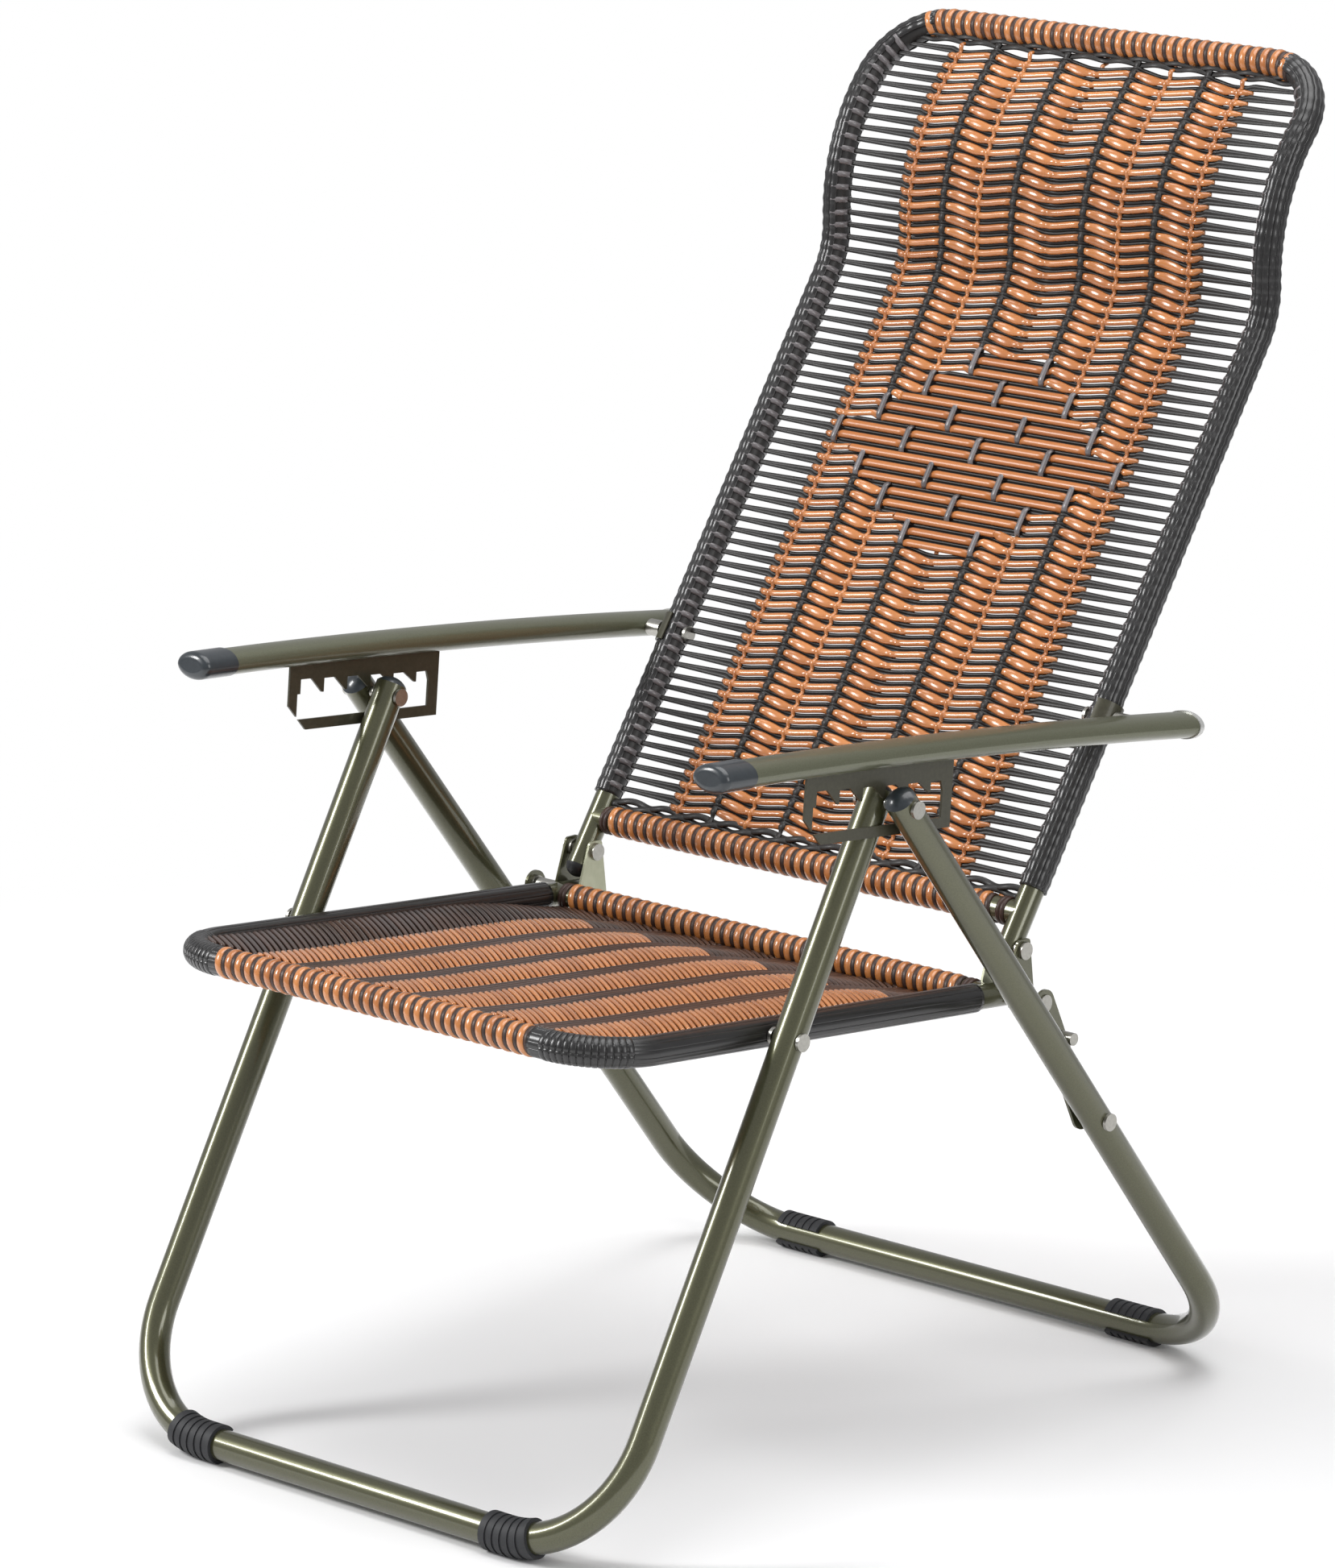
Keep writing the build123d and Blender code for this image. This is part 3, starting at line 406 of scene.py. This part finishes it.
def diamond(s):
    """Half width of the diamond at height s, and where its upright bars stand; none outside it."""
    step = (s - DIAMOND_S) / DIAMOND_STEP
    k = int(round(step))
    if abs(step) > DIAMOND_STEPS + BAR_TALL / 2 / DIAMOND_STEP:
        return 0.0, []
    half = DIAMOND_X - CELL * abs(k)
    if abs(step - k) * DIAMOND_STEP > BAR_TALL / 2:
        return DIAMOND_X - CELL * abs(step), []
    return half, [half - 2 * CELL * i for i in range(int(half / CELL) + 1)]


def zigzag(x, half):
    """Rise of a row above its middle line: up from orange to dark lines, down on, level in the diamond."""
    flat = ease((np.abs(x) - half) / DIAMOND_FADE) if half > 0 else 1.0
    edge = ease((FIELD_X - np.abs(x)) / FIELD_FADE)
    return -ZIGZAG * np.cos(math.pi * x / CELL) * flat * edge


def sunk(x, half):
    """1 in the middle of the cells right of a dark line, where the rows dip back and close up, else 0."""
    share = np.mod(x, 2 * CELL) / CELL
    dip = ease((share - DIP_FROM) / DIP_FADE) * ease((DIP_TO - share) / DIP_FADE)
    return dip * (np.abs(x) > half + WEFT_OVERLAP) * (np.abs(x) < DIAMOND_X)


def loop_reach(s):
    """Where the cross strands of a row meet the stile's tube, and how far along the tube that is."""
    rise = np.clip(s - CORNER, 0, TOP_BEND_R * CORNER_SHARE)
    turn = math.asin(rise / TOP_BEND_R)
    return BACK_X - TOP_BEND_R * (1 - math.cos(turn)), (s if s < CORNER else CORNER + TOP_BEND_R * turn)


orange = Strands(11)
dark = Strands(12)
grey = Strands(13)
floats = Strands(14)

weft_x = np.arange(-FIELD_X, FIELD_X + 0.1, WEFT_STEP)
from_middle = np.abs(weft_x)
for s in row_s:
    half, bars = diamond(s)
    behind = DARK_TUCK * bump_at(weft_x, DARK_LINES, DARK_TUCK_HALF)
    behind = behind + ORANGE_TUCK * bump_at(weft_x, ORANGE_LINES, ORANGE_TUCK_HALF)
    if half > 0:
        at_bars = DARK_TUCK * bump_at(weft_x, bars, BAR_TUCK_HALF)
        behind = np.where(from_middle < half + BAR_TUCK_HALF, at_bars, behind)
    ends = ease((FIELD_X - from_middle) / FIELD_FADE)
    dip = sunk(weft_x, half)
    wide = np.where(from_middle < half, FLOAT_WIDE, WEFT_WIDE + WEFT_SWELL * dip)
    wide = wide * (WEFT_END_SHARE + (1 - WEFT_END_SHARE) * ends)
    lift = WEFT_LIFT - behind - WEFT_DIP * dip - WEFT_END_DROP * (1 - ends)
    points, normals = back_point(weft_x, s + zigzag(weft_x, half), lift)
    runs = [(orange, from_middle <= FIELD_X)]
    if half > 0:
        runs = [(orange, weft_x < WEFT_OVERLAP - half), (floats, from_middle < half + WEFT_OVERLAP),
                (orange, weft_x > half - WEFT_OVERLAP)]
    for strands, part in runs:
        strands.add(points[part], normals[part], wide[part], WEFT_T)

warp_s = np.arange(WARP_END, S_TOP - WARP_END, WARP_STEP)


def under_diamond(x):
    """1 where an upright strand passes behind the diamond, else 0, with soft ends."""
    hidden = np.array([1.0 if abs(x) < diamond(s)[0] + WARP_EDGE else 0.0 for s in warp_s])
    return smooth(hidden, WARP_SMOOTHING)


# Upright strands: shift of the rows there, lift, its wave, drop behind the diamond, width and its wave
UPRIGHTS = [
    (orange, ORANGE_LINES, ZIGZAG, 0.5, 1.6, 4.8, 4.4, 0.5),
    (dark, DARK_LINES, -ZIGZAG, 1.0, 0.9, 5.2, 5.4, 1.4),
]
for strands, lines, shift, lift, rise, drop, wide, swell in UPRIGHTS:
    wave = np.cos(2 * math.pi * (warp_s - FIRST_ROW_S + shift) / ROW)
    for x in lines:
        points, normals = back_point(x, warp_s, lift + rise * wave - drop * under_diamond(x))
        strands.add(points, normals, wide + swell * wave, WARP_T)

for s in row_s + ROW / 2:
    half = diamond(s)[0]
    end = loop_reach(s)[0] - STILE_BITE
    dark_x = np.linspace(-end, end, CROSS_POINTS)
    from_middle = np.abs(dark_x)
    fan = np.clip((from_middle - DIAMOND_X) / (end - DIAMOND_X), 0, 1)
    knots = bump_at(dark_x, DARK_LINES, KNOT_HALF) * (from_middle > half + WARP_EDGE)
    apart = smooth(np.where(fan > 0, FAN_APART - FAN_CLOSING * fan, CROSS_APART), CROSS_SMOOTHING)
    wide = np.where(fan > 0, FAN_WIDE - FAN_NARROWING * fan, CROSS_WIDE)
    lift = CROSS_LIFT + KNOT_RISE * knots + FAN_RISE * fan - CROSS_DIP * sunk(dark_x, half)
    for side in (-1, 1):
        points, normals = back_point(dark_x, s + zigzag(dark_x, half) + side * apart, lift)
        dark.add(points, normals, wide, CROSS_T)

for k in range(-DIAMOND_STEPS, DIAMOND_STEPS + 1):
    middle_s = DIAMOND_S + k * DIAMOND_STEP
    bar_end = BAR_TALL / 2 + BAR_OVERRUN
    for x in diamond(middle_s)[1]:
        run = np.linspace(-bar_end, bar_end, BAR_POINTS)
        tuck = np.clip((np.abs(run) - BAR_TALL / 2 + BAR_TUCK) / (BAR_TUCK + BAR_OVERRUN), 0, 1)
        points, normals = back_point(x, middle_s + run, BAR_LIFT - BAR_DROP * tuck**2)
        grey.add(points, normals, BAR_WIDE, BAR_T)

for s, phase, sway in LASHINGS:
    half = loop_reach(s)[0] - STILE_BITE
    run = np.linspace(-half, half, LASHING_POINTS)
    twist = 2 * math.pi * run / CELL + phase
    lift = LASHING_LIFT + LASHING_TWIST * np.cos(twist)
    points, normals = back_point(run, s + sway * np.sin(twist), lift)
    dark.add(points, normals, LASHING_WIDE, LASHING_T)

orange.piece("back_orange_strands", ORANGE, "back", "orange_strand", "back_weave")
# The diamond's floats take the darker orange copy: painted shade
floats.piece("back_diamond_floats", SHADED_ORANGE, "back", "orange_strand", "back_weave")
dark.piece("back_dark_strands", BLACK, "back", "dark_strand", "back_weave")
grey.piece("back_diamond_bars", GREY_AND_PAINTED_LIGHT, "back", "dark_strand", "back_weave")


# Stiles: dark strands laid along the outside of the tube, loops of the cross strands inside
TUCK = 14.0
BEND_WOUND = 27.0
STILE_STEP = 2.6
LINING_WIDE = 2 * TUBE_R + 1.0
LINING_SIDES = 24
LAID_ANGLES = np.radians(np.arange(-112, 113, 28))
LAID_WIDE, LAID_T, LAID_RIPPLE = 6.2, 2.0, 0.35
LOOP_ANGLES = np.radians(np.linspace(100, 260, 15))
LOOP_WIDE, LOOP_T = 5.0, 2.8


def stile_line(length, hand):
    """Centre, outward and front directions along a wound stile, from its lower end over the top bend."""
    length = np.asarray(length, float)
    s = np.minimum(length, CORNER)
    turn = np.clip((length - CORNER) / TOP_BEND_R, 0, math.pi / 2)
    past = np.maximum(length - STILE_END, 0)
    middle, normal = back_point(0.0, s + TOP_BEND_R * np.sin(turn), 0.0)
    middle[..., 0] = hand * (BACK_X - TOP_BEND_R + TOP_BEND_R * np.cos(turn) - past)
    lean = np.interp(s, PROFILE_S, PROFILE_LEAN)
    up = np.stack([np.zeros_like(lean), np.sin(lean), np.cos(lean)], -1)
    out = up * np.sin(turn)[..., None]
    out[..., 0] = hand * np.cos(turn)
    return middle, out, normal


def round_tube(line, angle, radius):
    """Points and rays at an angle and radius round a tube's line."""
    middle, out, normal = line
    angle = np.asarray(angle, float)[..., None]
    ray = out * np.cos(angle) + normal * np.sin(angle)
    return middle + ray * radius, ray


stiles = Strands(21)
loops = Strands(22)
lining = Strands(23, LINING_SIDES)
for hand in (-1, 1):
    line = stile_line(np.arange(STILE_WRAP_S, STILE_END + TUCK, STILE_STEP), hand)
    lining.add(line[0], line[2], LINING_WIDE, LINING_WIDE)
    length = np.arange(STILE_WRAP_S, STILE_END - BEND_WOUND + TUCK, STILE_STEP)
    line = stile_line(length, hand)
    ripple = LAID_RIPPLE * np.cos(2 * math.pi * (length - FIRST_ROW_S - ROW / 2) / ROW)
    for angle in LAID_ANGLES:
        points, rays = round_tube(line, np.full(len(length), angle), WRAP_R - LAID_T / 2 - LAID_RIPPLE)
        stiles.add(points + rays * ripple[:, None], rays, LAID_WIDE, LAID_T)
    for s in row_s + ROW / 2:
        at = stile_line(np.full(len(LOOP_ANGLES), loop_reach(s)[1]), hand)
        points, rays = round_tube(at, LOOP_ANGLES, WRAP_R - LOOP_T / 2)
        loops.add(points, rays, LOOP_WIDE, LOOP_T)
stiles.piece("stile_laid_strands", GLOSS, "back", "dark_strand", "back_stile_wraps")
# The stile loops are dark cross strands coloured grey: painted light
loops.piece("stile_loops", GREY_AND_PAINTED_LIGHT, "back", "dark_strand", "back_stile_wraps")
lining.piece("stile_lining", BLACK, "back", "dark_strand", "back_stile_wraps")


# Rails wound with an orange and a brown strand side by side, and dark turns on from some of them to the frame
WIND_PITCH = 10.7
WIND_START = 3.0
WIND_T = 2.8
WIND_SINK = 0.7
ORANGE_TURN, DARK_TURN = 6.8, 5.8
TURN_SHARE = 0.999
END_TURN_START, END_TURN_PITCH, END_TURN = 1.0, 4.0, 4.6
AROUND = np.linspace(0, 2 * math.pi, 25)


def straight(middle, up):
    """A rail across the chair: centre, out and up directions at any x along it."""
    out = np.cross(up, [1.0, 0.0, 0.0])

    def path(x):
        places = np.full((len(x), 3), middle)
        places[:, 0] = x
        return places, out, up

    return path


def top_path(x):
    """The top rail and on round its bends, at any length either way from its middle."""
    return stile_line(STILE_END + BACK_X - TOP_BEND_R - np.abs(x), np.where(x < 0, -1, 1))


def winding(path, half, radius, body, name, node, dark_to=0.0):
    """Orange and brown turns along a rail, with dark turns on from its ends as far as dark_to."""
    for colour, start, sink, wide, material, slot, seed in (
        ("orange", 0.0, 0.0, ORANGE_TURN, ORANGE, "orange_strand", 31),
        ("dark", 0.5, WIND_SINK, DARK_TURN, DEEP, "dark_strand", 32),
    ):
        strand = Strands(seed)
        inner = radius - WIND_T / 2 - sink
        for turn in range(int((2 * half - 0.5 * WIND_PITCH) / WIND_PITCH)):
            x = -half + WIND_START + WIND_PITCH * (turn + start + AROUND / (2 * math.pi) * TURN_SHARE)
            points, rays = round_tube(path(x), AROUND, inner)
            strand.add(points, rays, wide, WIND_T)
        end_turns = np.arange(half + END_TURN_START, dark_to, END_TURN_PITCH)
        for x in end_turns if colour == "dark" else ():
            for hand in (-1, 1):
                points, rays = round_tube(path(np.full(len(AROUND), hand * x)), AROUND, inner)
                strand.add(points, rays, END_TURN, WIND_T)
        strand.piece(name + "_" + colour, material, body, slot, node)


BACK_UP = np.array([0.0, -math.cos(math.radians(BACK_LEAN)), math.sin(math.radians(BACK_LEAN))])
winding(top_path, BACK_X - TOP_BEND_R + BEND_WOUND, WRAP_R, "back", "top_rail_winding", "back_top_wrap")
winding(straight(LOWER_RAIL, BACK_UP), reach("back_lower_wrap", 0), WRAP_R, "back", "lower_rail_winding",
        "back_lower_wrap", BACK_X - TUBE_R)
winding(straight(SEAT_FRONT, SEAT_UP), reach("seat_front_wrap", 0), SEAT_WRAP_R, "seat", "front_rail_winding",
        "seat_front_wrap")
winding(straight(SEAT_REAR, SEAT_UP), reach("seat_rear_wrap", 0), SEAT_WRAP_R, "seat", "rear_rail_winding",
        "seat_rear_wrap", SEAT_X - TUBE_R)


# Seat weave: orange stripes of slanted ribs, a brown band of them at the left, dark strands between and below
STRIPES = [(-145.0, -103.0), (-82.0, -39.0), (-18.0, 21.0), (42.0, 83.0), (104.0, 149.0), (170.0, 212.0)]
STRIPE_END = 380.0
STRIPE_OVERLAP = 2.0
LEFT_BAND = (-217.0, -145.0)
SEAT_INNER = SEAT_X - SEAT_SIDE_R
U_FRONT = 11.0
U_REAR = SEAT_DEPTH - U_FRONT

RIB_PITCH = 6.4
RIB_SLOPE = 0.69
RIB_FILL, RIB_TAPER = 0.65, 0.12
RIB_T = 4.2
RIB_LIFT, RIB_CROWN, RIB_ROUNDNESS = -2.4, 1.9, 0.6
RIB_START, RIB_OVERRUN = 2.0, 4.0
RIB_POINTS, RIB_LEAST = 23, 3

LONG_COUNT, LONG_POINTS = 4, 90
LONG_OVERLAP, LONG_T = 0.7, 2.6
LONG_LIFT, LONG_OVERRUN = -1.4, 3.0

CROSSING_STEP, CROSSING_POINTS = 5.0, 40
CROSSING_WIDE, CROSSING_T, CROSSING_LIFT = 5.6, 1.4, -2.9

seat_orange = Strands(41)
seat_brown = Strands(42)
seat_dark = Strands(43)


def ribs(x0, x1, striped):
    """Slanted ribs between x0 and x1, orange as far back as the stripes go."""
    fall = RIB_SLOPE * (x1 - x0)
    share = np.linspace(0, 1, RIB_POINTS)
    x = x0 + (x1 - x0) * share
    lift = RIB_LIFT + RIB_CROWN * np.sin(math.pi * share) ** RIB_ROUNDNESS
    wide = RIB_PITCH * RIB_FILL * (1.0 - RIB_TAPER * share)
    for start in np.arange(U_FRONT - RIB_START, U_REAR + fall, RIB_PITCH):
        u = start - fall * share
        keep = (u > U_FRONT - RIB_OVERRUN) & (u < U_REAR + RIB_OVERRUN)
        if keep.sum() < RIB_LEAST:
            continue
        strands = seat_orange if striped and start < STRIPE_END else seat_brown
        points, normals = seat_point(x[keep], u[keep], lift[keep])
        strands.add(points, normals, wide[keep], RIB_T)


for x0, x1 in STRIPES:
    ribs(x0 - STRIPE_OVERLAP, x1 + STRIPE_OVERLAP, True)
ribs(*LEFT_BAND, False)
seat_run = np.linspace(U_FRONT - LONG_OVERRUN, U_REAR + LONG_OVERRUN, LONG_POINTS)
for (_, left), (right, _) in zip(STRIPES[:-1], STRIPES[1:]):
    for i in range(LONG_COUNT):
        x = left + (right - left) * (i + 0.5) / LONG_COUNT
        points, normals = seat_point(x, seat_run, LONG_LIFT)
        seat_brown.add(points, normals, (right - left) / LONG_COUNT + LONG_OVERLAP, LONG_T)
crossing_x = np.linspace(-SEAT_INNER, SEAT_INNER, CROSSING_POINTS)
for u in np.arange(U_FRONT, U_REAR + 1, CROSSING_STEP):
    points, normals = seat_point(crossing_x, u, CROSSING_LIFT)
    seat_dark.add(points, normals, CROSSING_WIDE, CROSSING_T)
seat_orange.piece("seat_orange_ribs", ORANGE, "seat", "orange_strand", "seat_weave")
seat_brown.piece("seat_brown_strands", BROWN, "seat", "dark_strand", "seat_weave")
seat_dark.piece("seat_cross_strands", BLACK, "seat", "dark_strand", "seat_weave")


# Seat side rails: dark strands laid along the tube, bound with flat turns round the front corners
SIDE_REAR_U = float((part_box("seat_side_wraps")[1][1] / MM - SEAT_FRONT[1]) / SEAT_ALONG[1])
SIDE_BEND = SIDE_REAR_U - SEAT_BEND_R
SIDE_END = SIDE_BEND + SEAT_BEND_R * math.pi / 2
SIDE_START, SIDE_STEP = 1.5, 3.0
SIDE_ANGLES = np.radians(np.arange(0, 360, 30))
SIDE_WIDE, SIDE_T, SIDE_SINK = 6.6, 1.7, 0.9
BINDING_RUN, BINDING_PITCH = 62.0, 4.6
BINDING_OVERLAP, BINDING_T, BINDING_SINK = 0.4, 1.2, 0.1


def side_line(length, hand):
    """Centre, outward and upward directions from a side rail's rear end round its front corner."""
    length = np.asarray(length, float)
    turn = np.clip((length - SIDE_BEND) / SEAT_BEND_R, 0, math.pi / 2)
    u = np.maximum(SIDE_REAR_U - length, SEAT_BEND_R) - SEAT_BEND_R * np.sin(turn)
    past = np.maximum(length - SIDE_END, 0)
    middle = SEAT_BASE + u[..., None] * SEAT_ALONG
    middle[..., 0] = hand * (SEAT_X - SEAT_BEND_R + SEAT_BEND_R * np.cos(turn) - past)
    out = -SEAT_ALONG * np.sin(turn)[..., None]
    out[..., 0] = hand * np.cos(turn)
    return middle, out, np.broadcast_to(SEAT_UP, middle.shape)


sides = Strands(51)
side_lining = Strands(52, LINING_SIDES)
for hand in (-1, 1):
    line = side_line(np.arange(SIDE_START, SIDE_END + TUCK, SIDE_STEP), hand)
    side_lining.add(line[0], line[2], LINING_WIDE, LINING_WIDE)
    for angle in SIDE_ANGLES:
        points, rays = round_tube(line, np.full(len(line[0]), angle), SEAT_SIDE_R - SIDE_SINK)
        sides.add(points, rays, SIDE_WIDE, SIDE_T)
    for length in np.arange(SIDE_END - BINDING_RUN, SIDE_END + 1.0, BINDING_PITCH):
        at = side_line(np.full(len(AROUND), length), hand)
        points, rays = round_tube(at, AROUND, SEAT_SIDE_R - BINDING_SINK)
        sides.add(points, rays, BINDING_PITCH + BINDING_OVERLAP, BINDING_T)
side_lining.piece("seat_side_lining", BLACK, "seat", "dark_strand", "seat_side_wraps")
sides.piece("seat_side_strands", GLOSS, "seat", "dark_strand", "seat_side_wraps")


# Studio, in metres: pale floor that fades to white away from the chair, soft lights, white beyond
FLOOR_HALF = 2.6
FLOOR_COLOUR, FLOOR_ROUGH = (0.93, 0.93, 0.93), 0.9
FADE_NEAR, FADE_FAR = 0.75, 1.7
WORLD_LIGHT, WHITE = (0.45, 0.45, 0.46, 1.0), (1.0, 1.0, 1.0, 1.0)
LOOK_AT = Vector((0.06016, -0.1546, 0.52506))
EYE = Vector((3.8658, -4.2743, 1.9057))
LENS, SENSOR = 172.6, 36.0

mesh = bpy.data.meshes.new("floor")
corners = [(-1, -1), (1, -1), (1, 1), (-1, 1)]
mesh.from_pydata([(x * FLOOR_HALF, y * FLOOR_HALF, 0) for x, y in corners], [], [(0, 1, 2, 3)])
floor = bpy.data.objects.new("floor", mesh)
bpy.context.scene.collection.objects.link(floor)
pale, node = shader("pale_floor", FLOOR_COLOUR, FLOOR_ROUGH, specular=0.0)
nodes, links = pale.node_tree.nodes, pale.node_tree.links
white = nodes.new("ShaderNodeEmission")
white.inputs["Strength"].default_value = 1.0
place = nodes.new("ShaderNodeTexCoord")
far = nodes.new("ShaderNodeVectorMath")
far.operation = "LENGTH"
fade = nodes.new("ShaderNodeMapRange")
fade.interpolation_type = "SMOOTHSTEP"
fade.inputs["From Min"].default_value = FADE_NEAR
fade.inputs["From Max"].default_value = FADE_FAR
seen = nodes.new("ShaderNodeLightPath")
share = nodes.new("ShaderNodeMath")
share.operation = "MULTIPLY"
blend = nodes.new("ShaderNodeMixShader")
links.new(place.outputs["Object"], far.inputs[0])
links.new(far.outputs["Value"], fade.inputs["Value"])
links.new(fade.outputs["Result"], share.inputs[0])
links.new(seen.outputs["Is Camera Ray"], share.inputs[1])
links.new(share.outputs[0], blend.inputs["Fac"])
links.new(node.outputs["BSDF"], blend.inputs[1])
links.new(white.outputs["Emission"], blend.inputs[2])
links.new(blend.outputs["Shader"], nodes["Material Output"].inputs["Surface"])
mesh.materials.append(pale)

world = bpy.data.worlds.new("studio")
world.use_nodes = True
nodes, links = world.node_tree.nodes, world.node_tree.links
backdrop = nodes["Background"]
seen = nodes.new("ShaderNodeLightPath")
mix = nodes.new("ShaderNodeMix")
mix.data_type = "RGBA"
mix.inputs["A"].default_value = WORLD_LIGHT
mix.inputs["B"].default_value = WHITE
links.new(seen.outputs["Is Camera Ray"], mix.inputs["Factor"])
links.new(mix.outputs["Result"], backdrop.inputs["Color"])
backdrop.inputs["Strength"].default_value = 1.0
bpy.context.scene.world = world


def softbox(name, place, size, power):
    """A soft rectangular light that faces the chair; size in metres, power in watts."""
    light = bpy.data.lights.new(name, "AREA")
    light.shape = "RECTANGLE"
    light.size, light.size_y = size
    light.energy = power
    made = bpy.data.objects.new(name, light)
    made.location = place
    made.rotation_euler = (LOOK_AT - Vector(place)).to_track_quat("-Z", "Y").to_euler()
    bpy.context.scene.collection.objects.link(made)


softbox("key", (-2.7, -2.9, 2.9), (1.0, 1.8), 135.0)
softbox("fill", (4.2, -0.4, 2.6), (1.6, 2.6), 55.0)
softbox("top", (0.2, 0.4, 4.2), (3.4, 3.4), 110.0)

camera = bpy.data.cameras.new("camera")
camera.lens = LENS
camera.sensor_width = SENSOR
eye = bpy.data.objects.new("camera", camera)
eye.location = EYE
eye.rotation_euler = (LOOK_AT - EYE).to_track_quat("-Z", "Y").to_euler()
bpy.context.scene.collection.objects.link(eye)
bpy.context.scene.camera = eye
bpy.context.scene.view_settings.view_transform = "Standard"
